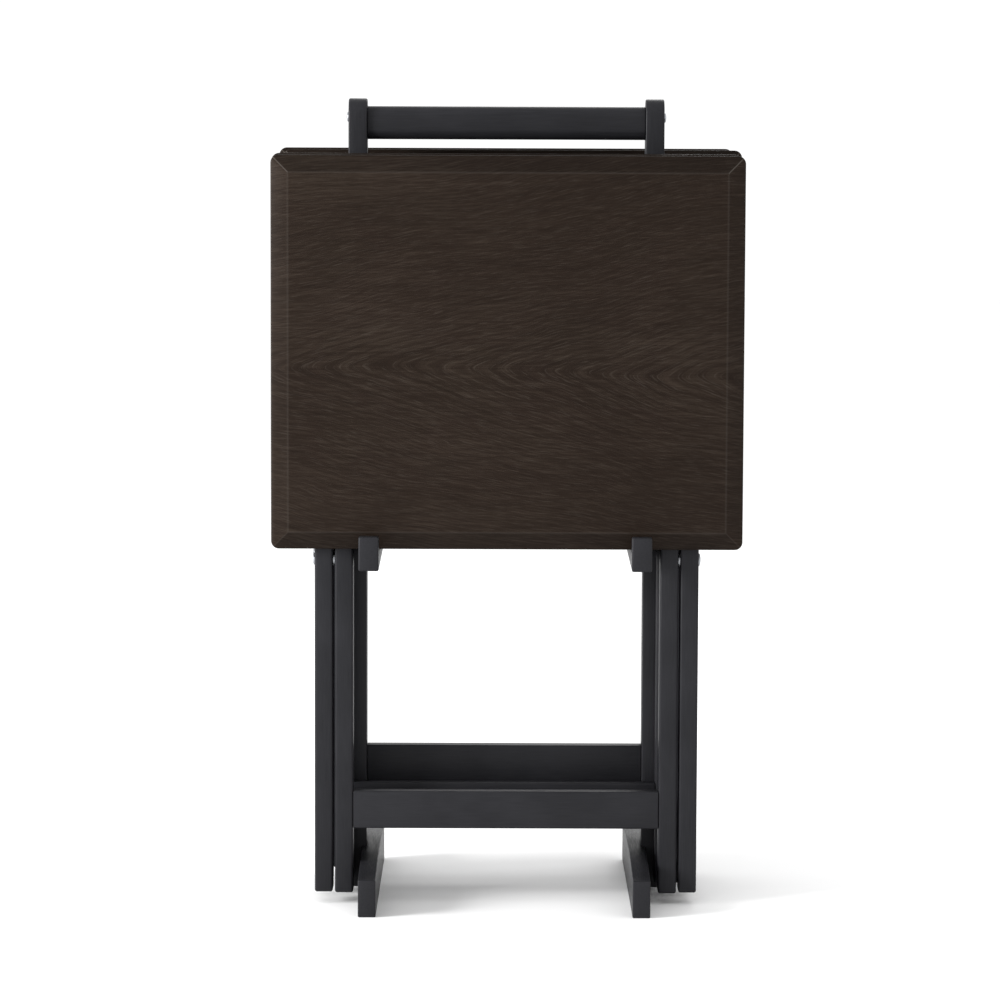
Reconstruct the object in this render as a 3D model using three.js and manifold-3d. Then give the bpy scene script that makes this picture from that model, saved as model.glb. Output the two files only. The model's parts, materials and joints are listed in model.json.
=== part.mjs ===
// Four folding tray tables hanging, folded, on their wooden storage stand.
// Millimetres. X runs to the right, Y to the back and Z up. The origin is on the floor,
// under the middle of the stand.
import * as THREE from "three";
import { mergeVertices } from "three/addons/utils/BufferGeometryUtils.js";
import Module from "manifold-3d";

const wasm = await Module();
wasm.setup();

// Stand
const gap = 0.3; // left between pieces that touch
const postInnerX = 143.7;
const postOuterX = 163;
const postDepth = 32;
const postFoot = 4; // the posts hang this far clear of the floor
const postTop = 827;
const postEase = 1.6;
const handleBottom = 785;
const handleTop = 819;
const handleDepth = 24;
const handleCorner = 10;
const handleScrewZ = 808;
const handleScrewBore = 2.6;
const handleScrewRadius = 2.3;
const handleScrewLength = 45;
const handleScrewHeadRadius = 5;
const handleScrewHeadHeight = 2;
const railBottom = 112;
const railTop = 153;
const railDepth = 18;
const railCorner = 2; // of the stand's rail and the trays' rails
const footInnerX = 130.2;
const footOuterX = 148.2;
const footLength = 320;
const footEndHeight = 38;
const footMiddleHeight = 47;
const armInnerX = 128;
const armOuterX = 148.5;
const armLength = 272;
const armThickness = 17.5;
const armSeatZ = 372; // top of the arms in the middle of the stand
const armRise = THREE.MathUtils.degToRad(1.9); // the arms climb this much to the back
const lipThickness = 11;
const lipHeight = 17.4;

// Tray tables, in a frame of their own: z is 0 at the lower edge of the hanging top,
// and y is 0 just in front of the middle of the folded tray.
const trayPitch = 45;
const innerTrayY = 42; // from the middle of the stand to an inner tray's own origin
const seatClearance = 0.6;
const topWidth = 480.4;
const topDepth = 400; // the height of the top as it hangs
const topFrontY = -20;
const topBackY = -5;
const bevelWidth = 17.5;
const bevelDrop = 4.5;
const topCorner = 8;
const legFrontY = -3;
const legBackY = 24;
const outerLegInnerX = 178;
const outerLegOuterX = 196.5;
const innerLegInnerX = 157;
const innerLegOuterX = 175.8;
const outerLegBottom = -356.8;
const innerLegBottom = -357.6;
const legEase = 2.2;
const legCorner = 5;
const outerLegTopRadius = 6.9;
const outerLegAboveHinge = 7;
const innerLegBelowDowel = 1.5;
const hingeY = 4;
const hingeZ = 380.7;
const pivotY = 10.5;
const pivotZ = -12.7;
const catchBarY = 17;
const catchBarZ = 366.7;
const dowelRadius = 5;
const trayRailBottom = -290.4;
const trayRailTop = -251.4;
const trayRailDepth = 15;
const battenInnerX = 98;
const battenOuterX = 114;
const battenDepth = 14;
const hingeEyeRadius = 9;
const halfOpenAngle = THREE.MathUtils.degToRad(28.7); // of each frame, when a tray stands open
const pivotBoltRadius = 3;
const boltHeadRadius = 6.5;
const boltHeadHeight = 2.2;

// How far each tray hangs off centre
const trayOffsetX = { front_outer: 1.6, front_inner: 0, rear_inner: 7, rear_outer: 0 };

// The extrusion runs along X, and the outline's own x and y become Y and Z.
const outlineToSide = new THREE.Matrix4().makeBasis(
  new THREE.Vector3(0, 1, 0),
  new THREE.Vector3(0, 0, 1),
  new THREE.Vector3(1, 0, 0),
);
// The extrusion runs along -Y, and the outline's own x and y become X and Z.
const outlineToFront = new THREE.Matrix4().makeBasis(
  new THREE.Vector3(1, 0, 0),
  new THREE.Vector3(0, 0, 1),
  new THREE.Vector3(0, -1, 0),
);

// Each arc of an outline is cut into twice this many straight steps.
const arcSteps = 2;

// A rectangle with its own corner radius at each end.
function roundedOutline(left, right, bottom, top, bottomRadius, topRadius = bottomRadius) {
  const quarter = Math.PI / 2;
  const shape = new THREE.Shape();
  shape.absarc(right - bottomRadius, bottom + bottomRadius, bottomRadius, -quarter, 0);
  shape.absarc(right - topRadius, top - topRadius, topRadius, 0, quarter);
  shape.absarc(left + topRadius, top - topRadius, topRadius, quarter, 2 * quarter);
  shape.absarc(left + bottomRadius, bottom + bottomRadius, bottomRadius, 2 * quarter, 3 * quarter);
  return shape;
}

// An outline in Y and Z carried from x = from to x = to, with its edges eased.
function sideBoard(outline, from, to, ease = 0) {
  const geometry = new THREE.ExtrudeGeometry(outline, {
    depth: to - from - 2 * ease,
    bevelEnabled: ease > 0,
    bevelThickness: ease,
    bevelSize: ease,
    bevelOffset: -ease,
    bevelSegments: 1,
    curveSegments: arcSteps,
  });
  geometry.translate(0, 0, from + ease);
  return geometry.applyMatrix4(outlineToSide);
}

// A full circle, drawn as three arcs so that it gets enough steps.
function drawCircle(path, y, z, radius) {
  const third = (2 * Math.PI) / 3;
  for (let i = 0; i < 3; i += 1) {
    path.absarc(y, z, radius, i * third, (i + 1) * third);
  }
  return path;
}

function roundBar(y, z, radius, from, to) {
  return sideBoard(drawCircle(new THREE.Shape(), y, z, radius), from, to);
}

function solidOf(geometry) {
  const bare = geometry.clone();
  bare.deleteAttribute("normal");
  bare.deleteAttribute("uv");
  const merged = mergeVertices(bare, 1e-4);
  return new wasm.Manifold(
    new wasm.Mesh({
      numProp: 3,
      vertProperties: new Float32Array(merged.attributes.position.array),
      triVerts: new Uint32Array(merged.index.array),
    }),
  );
}

function geometryOf(solid) {
  const mesh = solid.getMesh();
  const geometry = new THREE.BufferGeometry();
  geometry.setAttribute("position", new THREE.BufferAttribute(mesh.vertProperties, 3));
  geometry.setIndex(new THREE.BufferAttribute(mesh.triVerts, 1));
  geometry.computeVertexNormals();
  return geometry;
}

function carve(geometry, ...cutters) {
  const carved = cutters.reduce((solid, cutter) => solid.subtract(solidOf(cutter)), solidOf(geometry));
  return geometryOf(carved);
}

const finishes = {
  charcoalPaint: { color: 0x35353a, roughness: 0.42, metalness: 0 },
  darkVeneer: { color: 0x2f241d, roughness: 0.5, metalness: 0 },
  greySteel: { color: 0x8a8c90, roughness: 0.35, metalness: 0.9 },
};

function piece(parent, name, geometry, finish) {
  const mesh = new THREE.Mesh(geometry, new THREE.MeshStandardMaterial(finishes[finish]));
  mesh.name = name;
  parent.add(mesh);
  return mesh;
}

// The span from the inner to the outer distance on the right, or its mirror image on the left.
function spanOf(side, inner, outer) {
  return side > 0 ? [inner, outer] : [-outer, -inner];
}

const sides = { left: -1, right: 1 };

// A dome-headed screw or bolt whose shank runs along X; the head's seat is at x = 0.
function headedShank(headRadius, headHeight, shankRadius, shankLength) {
  const dome = [];
  const steps = 3;
  for (let i = 0; i <= steps; i += 1) {
    const turn = (i / steps) * (Math.PI / 2);
    dome.push(new THREE.Vector2(headRadius * Math.sin(turn), headHeight * Math.cos(turn)));
  }
  const profile = [
    ...dome,
    new THREE.Vector2(shankRadius, 0),
    new THREE.Vector2(shankRadius, -shankLength),
    new THREE.Vector2(0, -shankLength),
  ];
  const geometry = new THREE.LatheGeometry(profile.reverse(), 12);
  return geometry.rotateZ(-Math.PI / 2);
}

// Stand: two posts, handle, rail, two feet, two arms and the handle's screws

const armHalf = armLength / 2;

// The arm from the side: a bar with an upright lip at each end, before it is tilted.
function armOutline(clearance = 0) {
  const corner = 3;
  const end = armHalf + clearance;
  const low = -armThickness - clearance;
  const seat = clearance;
  const lipInner = armHalf - lipThickness - clearance;
  const shape = new THREE.Shape();
  shape.absarc(-end + corner, low + corner, corner, Math.PI, 1.5 * Math.PI);
  shape.absarc(end - corner, low + corner, corner, 1.5 * Math.PI, 2 * Math.PI);
  shape.absarc(end - corner, lipHeight - corner, corner, 0, 0.5 * Math.PI);
  shape.absarc(lipInner + corner, lipHeight - corner, corner, 0.5 * Math.PI, Math.PI);
  shape.lineTo(lipInner, seat);
  shape.lineTo(-lipInner, seat);
  shape.absarc(-lipInner - corner, lipHeight - corner, corner, 0, 0.5 * Math.PI);
  shape.absarc(-end + corner, lipHeight - corner, corner, 0.5 * Math.PI, Math.PI);
  return shape;
}

function tiltedArm(side, clearance = 0, ease = 2) {
  const [from, to] = spanOf(side, armInnerX, armOuterX);
  const geometry = sideBoard(armOutline(clearance), from - clearance, to + clearance, ease);
  return geometry.rotateX(armRise).translate(0, 0, armSeatZ);
}

// The foot from the side: flat below, and rising in a shallow curve to its middle.
function footOutline(clearance = 0) {
  const half = footLength / 2;
  const corner = 2.5;
  const flatHalf = postDepth;
  const top = footMiddleHeight + clearance;
  const endTop = footEndHeight + clearance;
  const shape = new THREE.Shape();
  shape.absarc(-half + corner, corner - clearance, corner, Math.PI, 1.5 * Math.PI);
  shape.absarc(half - corner, corner - clearance, corner, 1.5 * Math.PI, 2 * Math.PI);
  shape.absarc(half - corner, endTop - corner, corner, 0, 0.45 * Math.PI);
  shape.quadraticCurveTo(2 * flatHalf, top, flatHalf, top);
  shape.lineTo(-flatHalf, top);
  shape.quadraticCurveTo(-2 * flatHalf, top, -half + corner, endTop);
  shape.absarc(-half + corner, endTop - corner, corner, 0.55 * Math.PI, Math.PI);
  return shape;
}

function foot(side, clearance = 0, ease = 2) {
  const [from, to] = spanOf(side, footInnerX, footOuterX);
  return sideBoard(footOutline(clearance), from - clearance, to + clearance, ease);
}

function handleScrewHole(side) {
  const [from, to] = spanOf(side, postOuterX - handleScrewLength - 1, postOuterX + 1);
  return roundBar(0, handleScrewZ, handleScrewBore, from, to);
}

function buildStand() {
  const stand = new THREE.Group();
  const halfDepth = postDepth / 2;
  for (const [sideName, side] of Object.entries(sides)) {
    const [from, to] = spanOf(side, postInnerX, postOuterX);
    const outline = roundedOutline(-halfDepth, halfDepth, postFoot, postTop, 3, halfDepth - 0.5);
    const post = sideBoard(outline, from, to, postEase);
    const carved = carve(post, tiltedArm(side, gap, 0), foot(side, gap, 0), handleScrewHole(side));
    piece(stand, `${sideName}_post`, carved, "charcoalPaint");
    piece(stand, `${sideName}_foot`, foot(side), "charcoalPaint");
    piece(stand, `${sideName}_arm`, tiltedArm(side), "charcoalPaint");
    const screw = headedShank(handleScrewHeadRadius, handleScrewHeadHeight, handleScrewRadius, handleScrewLength);
    const screwMesh = piece(stand, `handle_screw_${sideName}`, screw, "greySteel");
    screwMesh.rotation.z = side > 0 ? 0 : Math.PI;
    screwMesh.position.set(side * (postOuterX + gap), 0, handleScrewZ);
  }
  const reach = postInnerX - gap;
  const grip = roundedOutline(-handleDepth / 2, handleDepth / 2, handleBottom, handleTop, handleCorner);
  const handle = carve(sideBoard(grip, -reach, reach), handleScrewHole(-1), handleScrewHole(1));
  piece(stand, "handle", handle, "charcoalPaint");
  const railOutline = roundedOutline(-railDepth / 2, railDepth / 2, railBottom, railTop, railCorner);
  piece(stand, "stand_rail", sideBoard(railOutline, -reach, reach), "charcoalPaint");
  return stand;
}

// Tray table, folded: its top hangs in front of the two crossed frames

// The board is cut from a plain slab with eased edges and a wide flat bevel round its face.
function topBoard() {
  const half = topWidth / 2;
  const thickness = topBackY - topFrontY;
  const ease = 1.5;
  const slab = new THREE.ExtrudeGeometry(roundedOutline(-half, half, 0, topDepth, topCorner), {
    depth: thickness - 2 * ease,
    bevelThickness: ease,
    bevelSize: ease,
    bevelOffset: -ease,
    bevelSegments: 1,
    curveSegments: arcSteps,
  });
  slab.translate(0, 0, ease - topBackY);
  slab.applyMatrix4(outlineToFront);
  const spare = 2; // the frustum passes the slab's edges by this much, on the same slope
  const frustumOutline = squareOutline(half + spare, -spare, topDepth + spare);
  const reach = bevelWidth + spare;
  const slope = (reach * bevelDrop) / bevelWidth;
  const frustum = new THREE.ExtrudeGeometry(frustumOutline, {
    depth: thickness,
    bevelThickness: slope,
    bevelSize: reach,
    bevelOffset: -reach,
    bevelSegments: 1,
  });
  frustum.translate(0, 0, -topFrontY - thickness - slope);
  frustum.applyMatrix4(outlineToFront);
  return geometryOf(solidOf(slab).intersect(solidOf(frustum)));
}

function squareOutline(half, bottom, top) {
  const shape = new THREE.Shape();
  shape.moveTo(-half, bottom);
  shape.lineTo(half, bottom);
  shape.lineTo(half, top);
  shape.lineTo(-half, top);
  return shape;
}

// Where the catch bar comes to lie under the top when the tray stands open, measured from the hinge.
function openCatchPoint() {
  const sine = Math.sin(halfOpenAngle);
  const cosine = Math.cos(halfOpenAngle);
  const hingeFromPivot = { y: hingeY - pivotY, z: hingeZ - pivotZ };
  const barFromPivot = { y: catchBarY - pivotY, z: catchBarZ - pivotZ };
  const hingeOpen = {
    y: hingeFromPivot.y * cosine + hingeFromPivot.z * sine,
    z: hingeFromPivot.z * cosine - hingeFromPivot.y * sine,
  };
  const barOpen = {
    y: barFromPivot.y * cosine - barFromPivot.z * sine,
    z: barFromPivot.z * cosine + barFromPivot.y * sine,
  };
  return { along: hingeOpen.y - barOpen.y, below: hingeOpen.z - barOpen.z };
}

// A batten under the top: an eye round the hinge dowel at one end, and at the other a hook,
// open underneath, that snaps over the catch bar.
function batten(from, to) {
  const catchPoint = openCatchPoint();
  const hookZ = hingeZ - catchPoint.along;
  const hookY = hingeY + catchPoint.below;
  const front = topBackY + gap;
  const back = front + battenDepth;
  const hookWall = 4.5;
  const notch = dowelRadius + gap;
  const hookHalf = notch + hookWall;
  const hookTip = hookY + 3.4;
  const slope = 14;
  const outline = new THREE.Shape();
  outline.moveTo(front, hookZ - hookHalf);
  outline.lineTo(hookTip, hookZ - hookHalf);
  outline.lineTo(hookTip, hookZ + hookHalf);
  outline.lineTo(back, hookZ + hookHalf + slope);
  outline.lineTo(back, hingeZ - hingeEyeRadius - slope);
  outline.absarc(hingeY, hingeZ, hingeEyeRadius - gap, -0.35 * Math.PI, 0.5 * Math.PI);
  outline.lineTo(front, hingeZ + hingeEyeRadius - gap);
  const eye = roundBar(hingeY, hingeZ, notch, from - 1, to + 1);
  const seat = roundBar(hookY, hookZ, notch, from - 1, to + 1);
  const mouth = roundedOutline(hookY, hookTip + 5, hookZ - notch + 0.5, hookZ + notch - 0.5, 0.2);
  return carve(sideBoard(outline, from, to, 0.8), eye, seat, sideBoard(mouth, from - 1, to + 1));
}

function legOutline(bottom, top, topRadius) {
  return roundedOutline(legFrontY, legBackY, bottom, top, legCorner, topRadius);
}

function buildTray(trayName) {
  const tray = new THREE.Group();
  const boltBore = pivotBoltRadius + gap;
  piece(tray, `${trayName}_top`, topBoard(), "darkVeneer");
  const outerTop = hingeZ + outerLegAboveHinge;
  const innerTop = hingeZ - dowelRadius - innerLegBelowDowel;
  for (const [sideName, side] of Object.entries(sides)) {
    const outerSpan = spanOf(side, outerLegInnerX, outerLegOuterX);
    const innerSpan = spanOf(side, innerLegInnerX, innerLegOuterX);
    const outerLeg = legOutline(outerLegBottom, outerTop, outerLegTopRadius);
    outerLeg.holes.push(drawCircle(new THREE.Path(), pivotY, pivotZ, boltBore));
    piece(tray, `${trayName}_outer_leg_${sideName}`, sideBoard(outerLeg, ...outerSpan, legEase), "charcoalPaint");
    const innerLeg = legOutline(innerLegBottom, innerTop, legCorner);
    innerLeg.holes.push(drawCircle(new THREE.Path(), pivotY, pivotZ, boltBore));
    piece(tray, `${trayName}_inner_leg_${sideName}`, sideBoard(innerLeg, ...innerSpan, legEase), "charcoalPaint");
    const battenSpan = spanOf(side, battenInnerX, battenOuterX);
    piece(tray, `${trayName}_batten_${sideName}`, batten(...battenSpan), "charcoalPaint");
    const shankLength = outerLegOuterX - innerLegInnerX - 1;
    const bolt = headedShank(boltHeadRadius, boltHeadHeight, pivotBoltRadius, shankLength);
    const boltMesh = piece(tray, `${trayName}_pivot_bolt_${sideName}`, bolt, "greySteel");
    boltMesh.rotation.z = side > 0 ? 0 : Math.PI;
    boltMesh.position.set(side * (outerLegOuterX + gap), pivotY, pivotZ);
  }
  const hingeReach = outerLegInnerX - gap;
  const hingeDowel = roundBar(hingeY, hingeZ, dowelRadius, -hingeReach, hingeReach);
  piece(tray, `${trayName}_hinge_dowel`, hingeDowel, "charcoalPaint");
  const innerReach = innerLegInnerX - gap;
  const catchBar = roundBar(catchBarY, catchBarZ, dowelRadius, -innerReach, innerReach);
  piece(tray, `${trayName}_catch_bar`, catchBar, "charcoalPaint");
  const railBack = legFrontY + trayRailDepth;
  const rail = roundedOutline(legFrontY, railBack, trayRailBottom, trayRailTop, railCorner);
  piece(tray, `${trayName}_lower_rail`, sideBoard(rail, -innerReach, innerReach), "charcoalPaint");
  return tray;
}

// Trays stand two to a side, facing outwards, each on the arms at its own height.
function placeTray(trayName, facing, row) {
  const tray = buildTray(trayName);
  const towardsBack = -facing * (innerTrayY + row * trayPitch);
  const topMiddle = towardsBack + (facing * (topFrontY + topBackY)) / 2;
  tray.rotation.z = facing > 0 ? 0 : Math.PI;
  tray.position.set(
    trayOffsetX[trayName],
    towardsBack,
    armSeatZ + topMiddle * Math.tan(armRise) + seatClearance,
  );
  return tray;
}

const part = new THREE.Group();
part.add(buildStand());
part.add(placeTray("front_outer", 1, 1));
part.add(placeTray("front_inner", 1, 0));
part.add(placeTray("rear_inner", -1, 0));
part.add(placeTray("rear_outer", -1, 1));

export default part;
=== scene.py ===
import json
import math

import bmesh
import bpy
from mathutils import Matrix, Vector


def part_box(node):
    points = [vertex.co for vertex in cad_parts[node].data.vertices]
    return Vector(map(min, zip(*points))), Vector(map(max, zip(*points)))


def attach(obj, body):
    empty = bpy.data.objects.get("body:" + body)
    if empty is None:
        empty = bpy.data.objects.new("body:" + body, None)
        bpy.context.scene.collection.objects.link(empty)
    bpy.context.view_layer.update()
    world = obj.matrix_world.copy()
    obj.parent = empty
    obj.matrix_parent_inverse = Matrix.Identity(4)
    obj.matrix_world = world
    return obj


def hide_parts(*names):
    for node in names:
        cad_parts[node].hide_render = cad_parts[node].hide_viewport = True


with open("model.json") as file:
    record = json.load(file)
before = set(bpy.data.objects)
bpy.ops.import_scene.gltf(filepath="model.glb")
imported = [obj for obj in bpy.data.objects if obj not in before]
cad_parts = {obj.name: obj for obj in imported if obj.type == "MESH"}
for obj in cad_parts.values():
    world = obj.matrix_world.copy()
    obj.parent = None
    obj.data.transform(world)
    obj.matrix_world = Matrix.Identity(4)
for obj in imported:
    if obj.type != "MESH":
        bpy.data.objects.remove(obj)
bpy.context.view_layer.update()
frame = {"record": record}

trays = ["front_outer", "front_inner", "rear_inner", "rear_outer"]
trayWords = {
    "front_outer": "frontOuter",
    "front_inner": "frontInner",
    "rear_inner": "rearInner",
    "rear_outer": "rearOuter",
}
sides = ["left", "right"]
otherSide = {"left": "right", "right": "left"}
bodyOfNode = {}
for body, members in frame["record"]["behaviour"]["bodies"].items():
    for member in members:
        bodyOfNode[member] = body


camera = {
    "place": (-0.01263, -4.0256, 0.7891),
    "yaw": math.radians(-0.104),
    "pitch": math.radians(-5.376),
    "roll": math.radians(0.21),
    "lens": 139.4,
    "sensorWidth": 36,
    "farEnd": 50,
}


def makeCamera():
    data = bpy.data.cameras.new("camera")
    data.lens = camera["lens"]
    data.sensor_width = camera["sensorWidth"]
    data.clip_end = camera["farEnd"]
    viewer = bpy.data.objects.new("camera", data)
    bpy.context.scene.collection.objects.link(viewer)
    turn = Matrix.Rotation(camera["yaw"], 4, "Z") @ Matrix.Rotation(math.pi / 2 + camera["pitch"], 4, "X")
    turn = turn @ Matrix.Rotation(camera["roll"], 4, "Z")
    viewer.matrix_world = Matrix.Translation(camera["place"]) @ turn
    bpy.context.scene.camera = viewer


studio = {
    "worldColor": (1.0, 1.0, 1.0, 1),
    "worldStrength": 1.06,
    "floorColor": (0.96, 0.96, 0.96, 1),
    "floorSize": 30,
    "floorRoughness": 0.9,
    "lamps": [
        {"name": "keyLight", "place": (-3.6, -1.5, 1.2), "size": 1.4, "power": 250, "aim": (0, 0, 0.5)},
        {"name": "fillLight", "place": (2.8, -2.4, 1.2), "size": 1.6, "power": 10, "aim": (0, 0, 0.4)},
        {"name": "backLight", "place": (0.6, 2.8, 2.4), "size": 1.6, "power": 25, "aim": (0, 0, 0.5)},
    ],
}


def makeStudio():
    bpy.context.scene.view_settings.view_transform = "Standard"
    world = bpy.data.worlds.new("studio")
    bpy.context.scene.world = world
    world.use_nodes = True
    background = world.node_tree.nodes["Background"]
    background.inputs["Color"].default_value = studio["worldColor"]
    background.inputs["Strength"].default_value = studio["worldStrength"]
    for lamp in studio["lamps"]:
        data = bpy.data.lights.new(lamp["name"], "AREA")
        data.size = lamp["size"]
        data.energy = lamp["power"]
        light = bpy.data.objects.new(lamp["name"], data)
        bpy.context.scene.collection.objects.link(light)
        light.location = lamp["place"]
        towards = Vector(lamp["aim"]) - Vector(lamp["place"])
        light.rotation_euler = towards.to_track_quat("-Z", "Y").to_euler()
    bpy.ops.mesh.primitive_plane_add(size=studio["floorSize"])
    floor = bpy.context.object
    floor.name = "floor"
    material = bpy.data.materials.new("paleFloor")
    material.use_nodes = True
    shader = material.node_tree.nodes["Principled BSDF"]
    shader.inputs["Base Color"].default_value = studio["floorColor"]
    shader.inputs["Roughness"].default_value = studio["floorRoughness"]
    floor.data.materials.append(material)
    print("studio ready")


def newMaterial(name, metallic, specular):
    material = bpy.data.materials.new(name)
    material.use_nodes = True
    shader = material.node_tree.nodes["Principled BSDF"]
    shader.inputs["Metallic"].default_value = metallic
    shader.inputs["Specular IOR Level"].default_value = specular
    return material, shader


def addNode(material, kind, **values):
    node = material.node_tree.nodes.new(kind)
    for name, value in values.items():
        if hasattr(node, name):
            setattr(node, name, value)
        else:
            node.inputs[name.replace("_", " ")].default_value = value
    return node


def join(material, source, target):
    material.node_tree.links.new(source, target)


def mathNode(material, operation, first, second=None):
    node = addNode(material, "ShaderNodeMath", operation=operation)
    for slot, value in enumerate((first, second)):
        if value is None:
            continue
        if isinstance(value, (int, float)):
            node.inputs[slot].default_value = value
        else:
            join(material, value, node.inputs[slot])
    return node.outputs[0]


def ramp(material, source, stops):
    node = addNode(material, "ShaderNodeValToRGB")
    elements = node.color_ramp.elements
    while len(elements) < len(stops):
        elements.new(0.5)
    for element, (place, color) in zip(elements, stops):
        element.position = place
        element.color = color if isinstance(color, tuple) else (color, color, color, 1)
    join(material, source, node.inputs["Fac"])
    return node.outputs["Color"]


def objectPoint(material, shift=(0, 0, 0), stretch=(1, 1, 1)):
    coordinates = addNode(material, "ShaderNodeTexCoord")
    mapping = addNode(material, "ShaderNodeMapping")
    mapping.inputs["Location"].default_value = shift
    mapping.inputs["Scale"].default_value = stretch
    join(material, coordinates.outputs["Object"], mapping.inputs["Vector"])
    return mapping.outputs["Vector"]


def noise(material, vector, scale, detail=3.0, roughness=0.5):
    node = addNode(material, "ShaderNodeTexNoise", Scale=scale, Detail=detail, Roughness=roughness)
    join(material, vector, node.inputs["Vector"])
    return node.outputs["Fac"]


def addBump(material, shader, height, strength, distance):
    bump = addNode(material, "ShaderNodeBump", Strength=strength, Distance=distance)
    join(material, height, bump.inputs["Height"])
    join(material, bump.outputs["Normal"], shader.inputs["Normal"])


def times(material, first, second):
    return mathNode(material, "MULTIPLY", first, second)


def plus(material, first, second):
    return mathNode(material, "ADD", first, second)


def minus(material, first, second):
    return mathNode(material, "SUBTRACT", first, second)


# 1 on a thin line where the distance is 0, falling to 0 at its half width
def lineMask(material, distance, halfWidth):
    closeness = minus(material, 1.0, times(material, mathNode(material, "ABSOLUTE", distance), 1 / halfWidth))
    return mathNode(material, "MAXIMUM", closeness, 0.0)


def mixColor(material, amount, first, second):
    node = addNode(material, "ShaderNodeMix", data_type="RGBA")
    join(material, amount, node.inputs["Factor"])
    for slot, color in ((6, first), (7, second)):
        if isinstance(color, tuple):
            node.inputs[slot].default_value = color
        else:
            join(material, color, node.inputs[slot])
    return node.outputs[2]


paint = {
    "dark": (0.0104, 0.0104, 0.0121, 1),
    "light": (0.0190, 0.0190, 0.0218, 1),
    "colorStops": (0.30, 0.70),
    "gloss": [(0.3, 0.36), (0.7, 0.5)],
    "specular": 0.12,
    "grainPerMetre": 900,
    "grainStretch": 0.045,
    "grainShare": 0.5,
    "cloudPerMetre": 14,
    "cloudShare": 0.5,
    "bumpStrength": 0.14,
    "bumpDepth": 0.0003,
}


# Satin lacquer over timber, whose grain shows faintly along one axis.
def makePaint(name, along):
    material, shader = newMaterial(name, 0.0, paint["specular"])
    stretch = [1.0, 1.0, 1.0]
    stretch["XYZ".index(along)] = paint["grainStretch"]
    vector = objectPoint(material, stretch=tuple(stretch))
    grain = noise(material, vector, paint["grainPerMetre"], 4)
    cloud = noise(material, objectPoint(material), paint["cloudPerMetre"], 2)
    grainPart = times(material, grain, paint["grainShare"])
    mixed = plus(material, grainPart, times(material, cloud, paint["cloudShare"]))
    darkStop, lightStop = paint["colorStops"]
    base = ramp(material, mixed, [(darkStop, paint["dark"]), (lightStop, paint["light"])])
    join(material, base, shader.inputs["Base Color"])
    join(material, ramp(material, grain, paint["gloss"]), shader.inputs["Roughness"])
    addBump(material, shader, grain, paint["bumpStrength"], paint["bumpDepth"])
    return material


veneer = {
    "axisHeight": 0.552,
    "curve": 7.5,
    "curvePower": 1.27,
    "tipRounding": 0.000006,
    "sway": 0.05,
    "swayStretch": (4.0, 1.0, 5.0),
    "fineSway": 0.02,
    "fineSwayStretch": (22.0, 1.0, 40.0),
    "waves": 230,
    "waveReach": 0.085,
    "waveShare": 0.035,
    "figure": (16.0, 130.0, 10.0),
    "figureShare": 0.40,
    "streakStretch": (24.0, 200.0, 680.0),
    "streakShare": 0.36,
    "cloudStretch": (2.0, 1.0, 4.0),
    "cloudPerMetre": 2.5,
    "cloudShare": 0.24,
    "colorStops": (0.34, 0.50, 0.68),
    "dark": (0.0074, 0.0040, 0.0023, 1),
    "middle": (0.0122, 0.0074, 0.0048, 1),
    "light": (0.0255, 0.0178, 0.0128, 1),
    # Painted highlight: the arris colour is a light line painted along the bevels' arrises and mitres,
    # stronger on the upper mitres than on the lower.
    "arris": (0.056, 0.048, 0.042, 1),
    "arrisHighlightAmount": 0.20,
    "lowMitreHighlight": 0.22,
    "highMitreHighlight": 0.95,
    "pore": (0.044, 0.035, 0.028, 1),
    "poreAmount": 0.38,
    "poreSpacing": (60.0, 330.0, 60.0),
    "poreStops": [(0.55, 0.0), (0.70, 1.0)],
    "arrisHalf": 0.0015,
    "mitreHalf": 0.0012,
    # bevelShade is painted shade: the share of colour left on the bevels above and below the field.
    "bevelShade": 0.72,
    "gloss": [(0.3, 0.54), (0.7, 0.42)],
    "specular": 0.075,
    "bumpStrength": 0.3,
    "bumpDepth": 0.0004,
}


# a point whose three parts run along the board, across the grain's rings, and up
def grainPoint(material, split, ring, spacing):
    point = addNode(material, "ShaderNodeCombineXYZ")
    join(material, times(material, split.outputs["X"], spacing[0]), point.inputs["X"])
    join(material, times(material, ring, spacing[1]), point.inputs["Y"])
    join(material, times(material, split.outputs["Z"], spacing[2]), point.inputs["Z"])
    return point.outputs["Vector"]


# Rings that nest in points along the board's middle and run flat away from it.
def grainRings(material, split, shift):
    swayPoint = objectPoint(material, shift, veneer["swayStretch"])
    finePoint = objectPoint(material, shift, veneer["fineSwayStretch"])
    sway = minus(material, noise(material, swayPoint, 1.0, 2), 0.5)
    fineSway = minus(material, noise(material, finePoint, 1.0, 2), 0.5)
    height = minus(material, split.outputs["Z"], veneer["axisHeight"] + shift[2])
    height = plus(material, height, times(material, sway, veneer["sway"]))
    squared = plus(material, times(material, height, height), veneer["tipRounding"])
    away = mathNode(material, "SQRT", squared)
    lift = times(material, mathNode(material, "POWER", away, veneer["curvePower"]), veneer["curve"])
    ring = minus(material, lift, split.outputs["X"])
    return plus(material, ring, times(material, fineSway, veneer["fineSway"])), away
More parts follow.
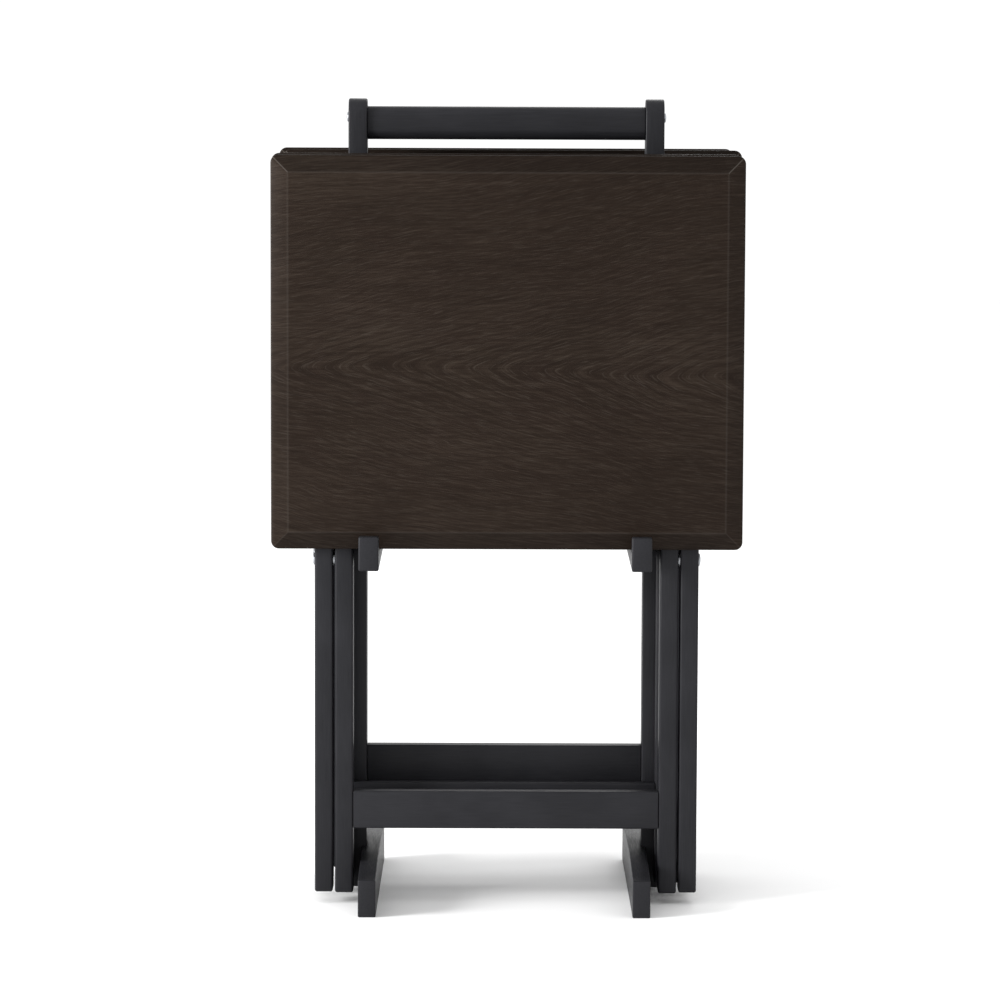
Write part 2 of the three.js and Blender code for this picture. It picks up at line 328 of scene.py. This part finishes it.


# Painted highlights along the arrises and mitres, stronger on the upper mitres, and painted shade that
# darkens the bevels above and below.
def bevelHighlightsAndShade(material, boardBox):
    low, high = boardBox
    middle = (low + high) / 2
    half = (high - low) / 2
    place = addNode(material, "ShaderNodeSeparateXYZ")
    join(material, objectPoint(material), place.inputs["Vector"])
    sideways = mathNode(material, "ABSOLUTE", minus(material, place.outputs["X"], middle.x))
    upwards = mathNode(material, "ABSOLUTE", minus(material, place.outputs["Z"], middle.z))
    pastX = minus(material, sideways, half.x - board["bevelWidth"])
    pastZ = minus(material, upwards, half.z - board["bevelWidth"])
    rim = mathNode(material, "MAXIMUM", pastX, pastZ)
    onBevel = mathNode(material, "GREATER_THAN", rim, 0.0)
    # Painted shade: the bevels above and below the field are darkened.
    level = times(material, mathNode(material, "GREATER_THAN", pastZ, pastX), onBevel)
    shade = minus(material, 1.0, times(material, level, 1 - veneer["bevelShade"]))
    mitreHighlight = lineMask(material, minus(material, pastX, pastZ), veneer["mitreHalf"])
    mitreHighlight = times(material, mitreHighlight, onBevel)
    # The upper mitres get a stronger painted highlight than the lower ones.
    upper = mathNode(material, "GREATER_THAN", place.outputs["Z"], middle.z)
    mitreAmount = times(material, upper, veneer["highMitreHighlight"] - veneer["lowMitreHighlight"])
    mitreHighlight = times(material, mitreHighlight, plus(material, mitreAmount, veneer["lowMitreHighlight"]))
    arris = times(material, lineMask(material, rim, veneer["arrisHalf"]), veneer["arrisHighlightAmount"])
    return mathNode(material, "MAXIMUM", arris, mitreHighlight), shade


def makeVeneer(name, shift, boardBox):
    material, shader = newMaterial(name, 0.0, veneer["specular"])
    split = addNode(material, "ShaderNodeSeparateXYZ")
    join(material, objectPoint(material, shift), split.inputs["Vector"])
    ring, away = grainRings(material, split, shift)
    wave = mathNode(material, "SINE", times(material, ring, veneer["waves"]))
    farness = times(material, away, 1 / veneer["waveReach"])
    nearAxis = mathNode(material, "MAXIMUM", minus(material, 1.0, farness), 0.0)
    wave = times(material, times(material, wave, nearAxis), veneer["waveShare"])
    figure = noise(material, grainPoint(material, split, ring, veneer["figure"]), 1.0, 4, 0.6)
    streak = noise(material, objectPoint(material, shift, veneer["streakStretch"]), 1.0, 3, 0.65)
    cloudPoint = objectPoint(material, shift, veneer["cloudStretch"])
    cloud = noise(material, cloudPoint, veneer["cloudPerMetre"], 2)
    total = plus(material, times(material, figure, veneer["figureShare"]), wave)
    total = plus(material, total, times(material, streak, veneer["streakShare"]))
    total = plus(material, total, times(material, cloud, veneer["cloudShare"]))
    colors = (veneer["dark"], veneer["middle"], veneer["light"])
    base = ramp(material, total, list(zip(veneer["colorStops"], colors)))
    pores = noise(material, grainPoint(material, split, ring, veneer["poreSpacing"]), 1.0, 2)
    openPores = times(material, ramp(material, pores, veneer["poreStops"]), veneer["poreAmount"])
    base = mixColor(material, openPores, base, veneer["pore"])
    # Painted highlights on the arrises and mitres, and painted shade on the upper and lower bevels.
    edgeHighlights, shade = bevelHighlightsAndShade(material, boardBox)
    # The base colour is darkened by the painted shade on the upper and lower bevels.
    shaded = addNode(material, "ShaderNodeVectorMath", operation="SCALE")
    join(material, base, shaded.inputs[0])
    join(material, shade, shaded.inputs["Scale"])
    # The painted highlight colour is mixed in along the arrises and mitres.
    highlighted = mixColor(material, edgeHighlights, shaded.outputs[0], veneer["arris"])
    join(material, highlighted, shader.inputs["Base Color"])
    join(material, ramp(material, total, veneer["gloss"]), shader.inputs["Roughness"])
    addBump(material, shader, total, veneer["bumpStrength"], veneer["bumpDepth"])
    return material


steel = {
    "color": (0.36, 0.37, 0.39, 1),
    "metallic": 0.9,
    "specular": 0.3,
    "brushStretch": (1.0, 8.0, 1.0),
    "brushPerMetre": 700,
    "gloss": [(0.3, 0.26), (0.7, 0.44)],
    "bumpStrength": 0.12,
    "bumpDepth": 0.0002,
}


def makeSteel():
    material, shader = newMaterial("greySteel", steel["metallic"], steel["specular"])
    shader.inputs["Base Color"].default_value = steel["color"]
    brushPoint = objectPoint(material, stretch=steel["brushStretch"])
    brushed = noise(material, brushPoint, steel["brushPerMetre"], 2)
    join(material, ramp(material, brushed, steel["gloss"]), shader.inputs["Roughness"])
    addBump(material, shader, brushed, steel["bumpStrength"], steel["bumpDepth"])
    return material


def startBox(name, low, high):
    bpy.ops.object.select_all(action="DESELECT")
    bpy.ops.mesh.primitive_cube_add(size=1)
    piece = bpy.context.object
    piece.name = name
    piece.data.name = name
    piece.scale = high - low
    piece.location = (low + high) / 2
    bpy.ops.object.transform_apply(location=True, rotation=False, scale=True)
    return piece


# wanted is asked about each edge's middle and its direction
def selectEdges(piece, wanted):
    bpy.ops.mesh.select_mode(type="EDGE")
    bpy.ops.mesh.select_all(action="DESELECT")
    mesh = bmesh.from_edit_mesh(piece.data)
    for edge in mesh.edges:
        middle = (edge.verts[0].co + edge.verts[1].co) / 2
        direction = (edge.verts[1].co - edge.verts[0].co).normalized()
        edge.select = bool(wanted(middle, direction))
    mesh.select_flush_mode()
    bmesh.update_edit_mesh(piece.data)


def bevelEdges(piece, wanted, width, segments):
    selectEdges(piece, wanted)
    bpy.ops.mesh.bevel(
        offset=width,
        offset_type="OFFSET",
        segments=segments,
        affect="EDGES",
        clamp_overlap=True,
    )


# The edges that run round a board's two side faces.
def onSides(low, high):
    def wanted(middle, direction):
        toSide = min(abs(middle.x - low.x), abs(middle.x - high.x))
        return toSide < 1e-6 and abs(direction.x) < 0.1
    return wanted


def selectFaces(piece, wanted):
    bpy.ops.mesh.select_mode(type="FACE")
    bpy.ops.mesh.select_all(action="DESELECT")
    mesh = bmesh.from_edit_mesh(piece.data)
    for face in mesh.faces:
        face.select = bool(wanted(face.normal, face.calc_center_median()))
    bmesh.update_edit_mesh(piece.data)


def chooseOnly(piece):
    bpy.ops.object.select_all(action="DESELECT")
    piece.select_set(True)
    bpy.context.view_layer.objects.active = piece


smoothAngle = math.radians(32)


def settle(piece, material, body, replaced):
    chooseOnly(piece)
    bpy.ops.object.shade_smooth_by_angle(angle=smoothAngle)
    piece.data.materials.clear()
    piece.data.materials.append(material)
    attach(piece, body)
    if replaced:
        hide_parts(replaced)


# A length of timber with eased long edges and softened ends, the size of its node.
def stick(node, name, along, sizes):
    low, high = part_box(node)
    axis = "XYZ".index(along)
    piece = startBox(name, low, high)
    bpy.ops.object.mode_set(mode="EDIT")
    bevelEdges(piece, lambda middle, run: abs(run[axis]) > 0.9, sizes["edge"], sizes["steps"])
    for end in (low[axis], high[axis]):
        bevelEdges(piece, lambda middle, run: abs(middle[axis] - end) < 1e-5, sizes["end"], sizes["steps"])
    bpy.ops.object.mode_set(mode="OBJECT")
    return piece


posts = {"topRound": 0.0155, "topSteps": 12, "edge": 0.0016, "edgeSteps": 3}


def makePost(side, paintUp):
    node = side + "_post"
    low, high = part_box(node)
    piece = startBox(side + "Post", low, high)
    bpy.ops.object.mode_set(mode="EDIT")

    def onTop(middle, direction):
        return abs(direction.x) > 0.9 and middle.z > high.z - 1e-4

    bevelEdges(piece, onTop, posts["topRound"], posts["topSteps"])
    bevelEdges(piece, onSides(low, high), posts["edge"], posts["edgeSteps"])
    bpy.ops.object.mode_set(mode="OBJECT")
    settle(piece, paintUp, "stand", node)


grip = {"edge": 0.0102, "end": 0.0006, "steps": 8}
standRail = {"edge": 0.002, "end": 0.0005, "steps": 3}


def makeCrossPieces(paintAcross):
    handle = stick("handle", "carryHandle", "X", grip)
    settle(handle, paintAcross, "stand", "handle")
    rail = stick("stand_rail", "standRail", "X", standRail)
    settle(rail, paintAcross, "stand", "stand_rail")


feet = {
    "endHeight": 0.038,
    "endCorner": 0.0025,
    "flatHalf": 0.032,
    "curveSteps": 8,
    "edge": 0.0022,
    "edgeSteps": 3,
}


# The ends are drawn down from the flat middle by moving cut lines.
def makeFoot(side, paintDeep):
    node = side + "_foot"
    low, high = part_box(node)
    piece = startBox(side + "Foot", low, high)
    bpy.ops.object.mode_set(mode="EDIT")
    flat = feet["flatHalf"]
    curveEnd = high.y - feet["endCorner"]
    curve = []
    for step in range(feet["curveSteps"] + 1):
        part = step / feet["curveSteps"]
        cut = (1 - part) ** 2 * flat + 2 * part * (1 - part) * 2 * flat + part * part * curveEnd
        curve.append((cut, part * part * (high.z - feet["endHeight"])))
    for cut, drop in curve:
        for facing in (-1, 1):
            bpy.ops.mesh.select_all(action="SELECT")
            bpy.ops.mesh.bisect(plane_co=(0, facing * cut, 0), plane_no=(0, 1, 0))
    mesh = bmesh.from_edit_mesh(piece.data)
    for vert in mesh.verts:
        if vert.co.z > low.z + 1e-5:
            drops = [drop for cut, drop in curve if abs(vert.co.y) > cut - 1e-5]
            vert.co.z = high.z - max(drops, default=0.0)
    bmesh.update_edit_mesh(piece.data)
    rim = onSides(low, high)

    def onEnds(middle, direction):
        return abs(direction.x) > 0.9 and abs(abs(middle.y) - high.y) < 1e-6

    eased = lambda middle, run: rim(middle, run) or onEnds(middle, run)
    bevelEdges(piece, eased, feet["edge"], feet["edgeSteps"])
    bpy.ops.object.mode_set(mode="OBJECT")
    settle(piece, paintDeep, "stand", node)


arms = {
    "seatHeight": 0.372,
    "rise": math.radians(1.9),
    "half": 0.136,
    "thickness": 0.0175,
    "lip": 0.011,
    "lipHeight": 0.0174,
    "edge": 0.0018,
    "edgeSteps": 3,
}


# A level bar whose two ends are extruded up into lips, then tilted.
def makeArm(side, paintDeep):
    node = side + "_arm"
    low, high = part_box(node)
    seat, half = arms["seatHeight"], arms["half"]
    barLow = Vector((low.x, -half, seat - arms["thickness"]))
    piece = startBox(side + "Arm", barLow, Vector((high.x, half, seat)))
    bpy.ops.object.mode_set(mode="EDIT")
    for facing in (-1, 1):
        bpy.ops.mesh.select_all(action="SELECT")
        bpy.ops.mesh.bisect(plane_co=(0, facing * (half - arms["lip"]), 0), plane_no=(0, 1, 0))
    selectFaces(piece, lambda normal, centre: normal.z > 0.9 and abs(centre.y) > half - arms["lip"])
    bpy.ops.mesh.extrude_region_move(TRANSFORM_OT_translate={"value": (0, 0, arms["lipHeight"])})
    rim = onSides(low, high)

    def onLips(middle, direction):
        return abs(direction.x) > 0.9 and abs(middle.y) > half - arms["lip"] - 1e-5

    eased = lambda middle, run: rim(middle, run) or onLips(middle, run)
    bevelEdges(piece, eased, arms["edge"], arms["edgeSteps"])
    bpy.ops.object.mode_set(mode="OBJECT")
    lower = Matrix.Translation((0, 0, -seat))
    tilt = Matrix.Rotation(arms["rise"], 4, "X")
    piece.data.transform(lower.inverted() @ tilt @ lower)
    settle(piece, paintDeep, "stand", node)


board = {
    "bevelWidth": 0.0175,
    "bevelDrop": 0.0045,
    "corner": 0.008,
    "cornerSteps": 8,
    "arris": 0.0012,
    "arrisSteps": 3,
    "arrisAngle": math.radians(12.5),
}


# A slab whose face is inset and whose rim is then pushed back, which leaves a mitred bevel.
def makeTop(tray, material):
    node = tray + "_top"
    low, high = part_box(node)
    facing = -1 if "front" in tray else 1
    faceY = low.y if facing < 0 else high.y
    piece = startBox(trayWords[tray] + "Top", low, high)
    bpy.ops.object.mode_set(mode="EDIT")
    selectFaces(piece, lambda normal, centre: normal.y * facing > 0.9)
    bpy.ops.mesh.inset(thickness=board["bevelWidth"])
    mesh = bmesh.from_edit_mesh(piece.data)
    for vert in mesh.verts:
        onRim = abs(vert.co.x - low.x) < 1e-5 or abs(vert.co.x - high.x) < 1e-5
        if onRim and abs(vert.co.y - faceY) < 1e-5:
            vert.co.y -= facing * board["bevelDrop"]
    bmesh.update_edit_mesh(piece.data)
    bevelEdges(piece, lambda middle, run: abs(run.y) > 0.99, board["corner"], board["cornerSteps"])
    bpy.ops.object.mode_set(mode="OBJECT")
    ease = piece.modifiers.new("arris", "BEVEL")
    ease.width = board["arris"]
    ease.segments = board["arrisSteps"]
    ease.limit_method = "ANGLE"
    ease.angle_limit = board["arrisAngle"]
    bpy.ops.object.modifier_apply(modifier="arris")
    settle(piece, material, bodyOfNode[node], node)


legs = {"edge": 0.0024, "end": 0.0045, "steps": 4}
trayRail = {"edge": 0.002, "end": 0.0005, "steps": 3}
dowels = {"sides": 40, "end": 0.0006, "endSteps": 2}


def makeDowel(node, name, material):
    low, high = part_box(node)
    middle = (low + high) / 2
    bpy.ops.object.select_all(action="DESELECT")
    bpy.ops.mesh.primitive_cylinder_add(
        vertices=dowels["sides"],
        radius=(high.y - low.y) / 2,
        depth=high.x - low.x,
        location=middle,
        rotation=(0, math.pi / 2, 0),
    )
    piece = bpy.context.object
    piece.name = name
    piece.data.name = name
    bpy.ops.object.transform_apply(location=True, rotation=True, scale=True)
    bpy.ops.object.mode_set(mode="EDIT")
    bevelEdges(piece, lambda middle, run: abs(run.x) < 0.1, dowels["end"], dowels["endSteps"])
    bpy.ops.object.mode_set(mode="OBJECT")
    settle(piece, material, bodyOfNode[node], node)


batten = {
    "thickness": 0.014,
    "hookDepth": 0.02438,
    "hookCentre": 0.02098,
    "hookHalf": 0.0098,
    "slope": 0.014,
    "neck": 0.023,
    "eyeRadius": 0.0087,
    "eyeSteps": 14,
    "bore": 0.0053,
    "mouthHalf": 0.0048,
    "eyeStart": -63,  # degrees from straight back
    "eyeSweep": 153,
    "cutterMargin": 0.002,
    "mouthReach": 0.01,
    "ease": 0.0007,
    "easeSteps": 2,
    "easeAngle": math.radians(40),
    "boreSides": 40,
    "boreOverrun": 1.5,
}


def cutAway(piece, cutter):
    cut = piece.modifiers.new("cut", "BOOLEAN")
    cut.operation = "DIFFERENCE"
    cut.solver = "EXACT"
    cut.object = cutter
    chooseOnly(piece)
    bpy.ops.object.modifier_apply(modifier="cut")
    bpy.data.objects.remove(cutter)


def boreCutter(y, z, low, high):
    bpy.ops.object.select_all(action="DESELECT")
    bpy.ops.mesh.primitive_cylinder_add(
        vertices=batten["boreSides"],
        radius=batten["bore"],
        depth=(high.x - low.x) * batten["boreOverrun"],
        location=((low.x + high.x) / 2, y, z),
        rotation=(0, math.pi / 2, 0),
    )
    return bpy.context.object


# A bar cut across at each change of its outline and drawn in at the back, then bored for
# the hinge dowel and notched for the catch bar.
def makeBatten(tray, side, material):
    node = tray + "_batten_" + side
    low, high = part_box(node)
    facing = 1 if "front" in tray else -1
    face = low.y if facing > 0 else high.y
    eyeZ = high.z - batten["eyeRadius"]
    hookZ = low.z + batten["hookHalf"]
    outline = [
        (low.z, batten["hookDepth"]),
        (low.z + 2 * batten["hookHalf"], batten["hookDepth"]),
        (low.z + 2 * batten["hookHalf"] + batten["slope"], batten["thickness"]),
        (eyeZ - batten["neck"], batten["thickness"]),
    ]
    for step in range(batten["eyeSteps"] + 1):
        turn = math.radians(batten["eyeStart"] + batten["eyeSweep"] * step / batten["eyeSteps"])
        depth = batten["eyeRadius"] * (1 + math.cos(turn))
        outline.append((eyeZ + batten["eyeRadius"] * math.sin(turn), depth))
    piece = startBox(trayWords[tray] + "Batten" + side.capitalize(), low, high)
    bpy.ops.object.mode_set(mode="EDIT")
    for z, depth in outline[1:-1]:
        bpy.ops.mesh.select_all(action="SELECT")
        bpy.ops.mesh.bisect(plane_co=(0, 0, z), plane_no=(0, 0, 1))
    mesh = bmesh.from_edit_mesh(piece.data)
    for vert in mesh.verts:
        if abs(vert.co.y - face) > 1e-4:
            z, depth = min(outline, key=lambda corner: abs(corner[0] - vert.co.z))
            vert.co.y = face + facing * depth
    bmesh.update_edit_mesh(piece.data)
    bpy.ops.object.mode_set(mode="OBJECT")
    cutAway(piece, boreCutter(face + facing * batten["eyeRadius"], eyeZ, low, high))
    hookY = face + facing * batten["hookCentre"]
    cutAway(piece, boreCutter(hookY, hookZ, low, high))
    mouthEnds = sorted((hookY, hookY + facing * batten["mouthReach"]))
    margin = batten["cutterMargin"]
    mouthLow = Vector((low.x - margin, mouthEnds[0], hookZ - batten["mouthHalf"]))
    mouthHigh = Vector((high.x + margin, mouthEnds[1], hookZ + batten["mouthHalf"]))
    cutAway(piece, startBox("mouth", mouthLow, mouthHigh))
    ease = piece.modifiers.new("ease", "BEVEL")
    ease.width = batten["ease"]
    ease.segments = batten["easeSteps"]
    ease.limit_method = "ANGLE"
    ease.angle_limit = batten["easeAngle"]
    chooseOnly(piece)
    bpy.ops.object.modifier_apply(modifier="ease")
    settle(piece, material, bodyOfNode[node], node)


screwHead = {
    "rimShare": 0.3,
    "rings": 5,
    "socketRadius": 0.0022,
    "socketDepth": 0.0013,
    "socketTaper": 0.9,
    "socketShare": 0.8,
    "sides": 36,
}
handleScrew = {"headHeight": 0.002, "shankRadius": 0.0023}
pivotBolt = {"headHeight": 0.0022, "shankRadius": 0.003}


def grow(distance, scale=1.0):
    bpy.ops.mesh.extrude_region_move(TRANSFORM_OT_translate={"value": (0, 0, distance)})
    if scale != 1.0:
        bpy.ops.transform.resize(value=(scale, scale, 1))


# A shank extruded from a disc, widened into a domed head, with a round socket sunk in it.
def makeScrew(node, name, side, sizes, material):
    low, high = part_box(node)
    centre = (low + high) / 2
    length = high.x - low.x
    headRadius = (high.y - low.y) / 2
    rings = screwHead["rings"]
    headHeight = sizes["headHeight"]
    shankRadius = sizes["shankRadius"]
    bpy.ops.object.select_all(action="DESELECT")
    sideCount = screwHead["sides"]
    bpy.ops.mesh.primitive_circle_add(vertices=sideCount, radius=shankRadius, fill_type="NGON")
    piece = bpy.context.object
    piece.name = name
    piece.data.name = name
    bpy.ops.object.mode_set(mode="EDIT")
    bpy.ops.mesh.select_mode(type="FACE")
    bpy.ops.mesh.select_all(action="SELECT")
    grow(length - headHeight)
    grow(0, headRadius / shankRadius)
    grow(headHeight * screwHead["rimShare"])
    rise = headHeight * (1 - screwHead["rimShare"])
    for ring in range(1, rings):
        turn = math.pi / 2 * ring / rings
        before = math.pi / 2 * (ring - 1) / rings
        grow(rise * (math.sin(turn) - math.sin(before)), math.cos(turn) / math.cos(before))
    lastTurn = math.pi / 2 * (rings - 1) / rings
    crownRadius = headRadius * math.cos(lastTurn)
    socketRadius = min(screwHead["socketRadius"], crownRadius * screwHead["socketShare"])
    grow(rise * (1 - math.sin(lastTurn)), socketRadius / crownRadius)
    grow(-screwHead["socketDepth"], screwHead["socketTaper"])
    bpy.ops.mesh.select_all(action="SELECT")
    bpy.ops.mesh.normals_make_consistent(inside=False)
    bpy.ops.object.mode_set(mode="OBJECT")
    outwards = 1 if side == "right" else -1
    start = low.x if outwards > 0 else high.x
    turn = Matrix.Rotation(outwards * math.pi / 2, 4, "Y")
    piece.data.transform(Matrix.Translation((start, centre.y, centre.z)) @ turn)
    settle(piece, material, bodyOfNode[node], node)


washer = {"outer": 0.0075, "thickness": 0.0016, "sides": 40, "hole": 0.0034}


# A flat ring in the gap between the crossed legs.
def makeWasher(tray, side, material):
    node = tray + "_pivot_bolt_" + side
    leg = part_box(tray + "_inner_leg_" + side)
    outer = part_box(tray + "_outer_leg_" + side)
    if outer[0].x > leg[0].x:
        gapMiddle = (leg[1].x + outer[0].x) / 2
    else:
        gapMiddle = (leg[0].x + outer[1].x) / 2
    low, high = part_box(node)
    centre = (low + high) / 2
    bpy.ops.object.select_all(action="DESELECT")
    sideCount = washer["sides"]
    bpy.ops.mesh.primitive_circle_add(vertices=sideCount, radius=washer["outer"], fill_type="NGON")
    piece = bpy.context.object
    piece.name = trayWords[tray] + "Washer" + side.capitalize()
    bpy.ops.object.mode_set(mode="EDIT")
    bpy.ops.mesh.select_mode(type="FACE")
    bpy.ops.mesh.select_all(action="SELECT")
    bpy.ops.mesh.inset(thickness=washer["outer"] - washer["hole"])
    bpy.ops.mesh.delete(type="FACE")
    bpy.ops.mesh.select_all(action="SELECT")
    bpy.ops.mesh.extrude_region_move(TRANSFORM_OT_translate={"value": (0, 0, washer["thickness"])})
    bpy.ops.mesh.select_all(action="SELECT")
    bpy.ops.mesh.normals_make_consistent(inside=False)
    bpy.ops.object.mode_set(mode="OBJECT")
    place = Matrix.Translation((gapMiddle - washer["thickness"] / 2, centre.y, centre.z))
    piece.data.transform(place @ Matrix.Rotation(math.pi / 2, 4, "Y"))
    settle(piece, material, bodyOfNode[node], None)


def makeTray(tray, finishes):
    makeTop(tray, finishes["veneer"][tray])
    for side in sides:
        for frameName in ("outer", "inner"):
            node = tray + "_" + frameName + "_leg_" + side
            name = trayWords[tray] + frameName.capitalize() + "Leg" + side.capitalize()
            leg = stick(node, name, "Z", legs)
            settle(leg, finishes["up"], bodyOfNode[node], node)
        makeBatten(tray, side, finishes["up"])
        outwards = side if "front" in tray else otherSide[side]  # the rear trays are turned round
        boltNode = tray + "_pivot_bolt_" + side
        boltName = trayWords[tray] + "PivotBolt" + side.capitalize()
        makeScrew(boltNode, boltName, outwards, pivotBolt, finishes["steel"])
        makeWasher(tray, side, finishes["steel"])
    node = tray + "_lower_rail"
    rail = stick(node, trayWords[tray] + "LowerRail", "X", trayRail)
    settle(rail, finishes["across"], bodyOfNode[node], node)
    makeDowel(tray + "_hinge_dowel", trayWords[tray] + "HingeDowel", finishes["across"])
    makeDowel(tray + "_catch_bar", trayWords[tray] + "CatchBar", finishes["across"])
    print(tray, "made")


makeCamera()
makeStudio()
veneerShifts = {
    "front_outer": (0, 0, 0),
    "front_inner": (0.4, 0, 0.03),
    "rear_inner": (0.9, 0, -0.04),
    "rear_outer": (1.7, 0, 0.02),
}
veneers = {}
for tray in trays:
    veneers[tray] = makeVeneer(trayWords[tray] + "Veneer", veneerShifts[tray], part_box(tray + "_top"))
finishes = {
    "up": makePaint("charcoalUpright", "Z"),
    "across": makePaint("charcoalAcross", "X"),
    "deep": makePaint("charcoalDeep", "Y"),
    "steel": makeSteel(),
    "veneer": veneers,
}
print("finishes mixed")
for side in sides:
    makePost(side, finishes["up"])
    makeFoot(side, finishes["deep"])
    makeArm(side, finishes["deep"])
    screwName = "handleScrew" + side.capitalize()
    makeScrew("handle_screw_" + side, screwName, side, handleScrew, finishes["steel"])
makeCrossPieces(finishes["across"])
print("stand made")
for tray in trays:
    makeTray(tray, finishes)
